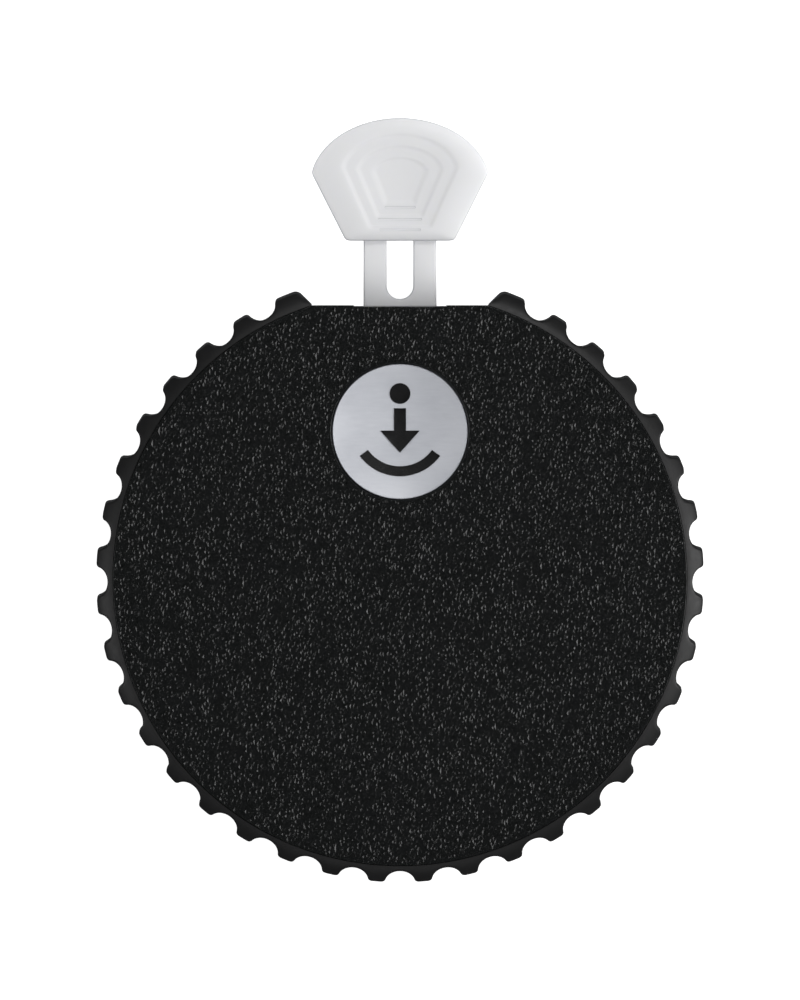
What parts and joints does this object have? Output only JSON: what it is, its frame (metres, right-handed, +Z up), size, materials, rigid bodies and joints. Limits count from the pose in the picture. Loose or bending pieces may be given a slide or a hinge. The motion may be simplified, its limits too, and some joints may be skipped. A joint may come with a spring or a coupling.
{
  "type": "security tag detacher",
  "caption": "Handheld round magnetic tag detacher: black textured puck with scalloped grip band, white dished press pad and a white pull tab with a lanyard slot.",
  "frame": {"origin": "centre of the foot pad's sole, on the axis of the round puck", "axes": "+Z up out of the textured face, +Y towards the pull tab, +X across the tab"},
  "size_m": [0.0762, 0.0958, 0.0201],
  "materials": {
    "textured_black": "speckled moulded texture",
    "black_plastic": "fine satin",
    "grip_black": "smooth satin elastomer",
    "milky_white": "translucent satin",
    "white_pad": "satin, lightly frosted",
    "steel": "zinc plated",
    "nickel": "nickel plated magnet",
    "spring_steel": "bright spring strip",
    "brass": "turned",
    "acetal": "natural acetal",
    "rubber": "matt"
  },
  "bodies": {
    "housing": {"top_cover": "textured_black", "bottom_cover": "black_plastic", "grip_band": "grip_black", "foot_pad": "rubber", "deck_plate": "steel", "wave_spring": "spring_steel", "guide_rail_left": "acetal", "guide_rail_right": "acetal", "detent_spring_left": "spring_steel", "detent_spring_right": "spring_steel", "stop_bumper_left": "rubber", "stop_bumper_right": "rubber", "case_screw_1": "steel", "case_screw_2": "steel", "case_screw_3": "steel", "case_screw_4": "steel", "threaded_insert_1": "brass", "threaded_insert_2": "brass", "threaded_insert_3": "brass", "threaded_insert_4": "brass", "deck_screw_1": "steel", "deck_screw_2": "steel", "deck_screw_3": "steel", "deck_screw_4": "steel"},
    "slider": {"pull_tab": "milky_white", "steel_cup": "steel", "ring_magnet": "nickel", "core_pole": "steel", "magnet_cap": "brass"},
    "pad": {"nest_pad": "white_pad"}
  },
  "joints": [
    {"name": "tab_slide", "type": "slide", "parent": "housing", "child": "slider", "axis": [0, -1, 0], "range_m": [0, 0.0078], "deforming": ["detent_spring_left", "detent_spring_right"]},
    {"name": "pad_press", "type": "slide", "parent": "housing", "child": "pad", "axis": [0, 0, -1], "range_m": [0, 0.0008], "stiffness_N_per_m": 1500, "springref_m": -0.0006, "deforming": ["wave_spring"]}
  ]
}
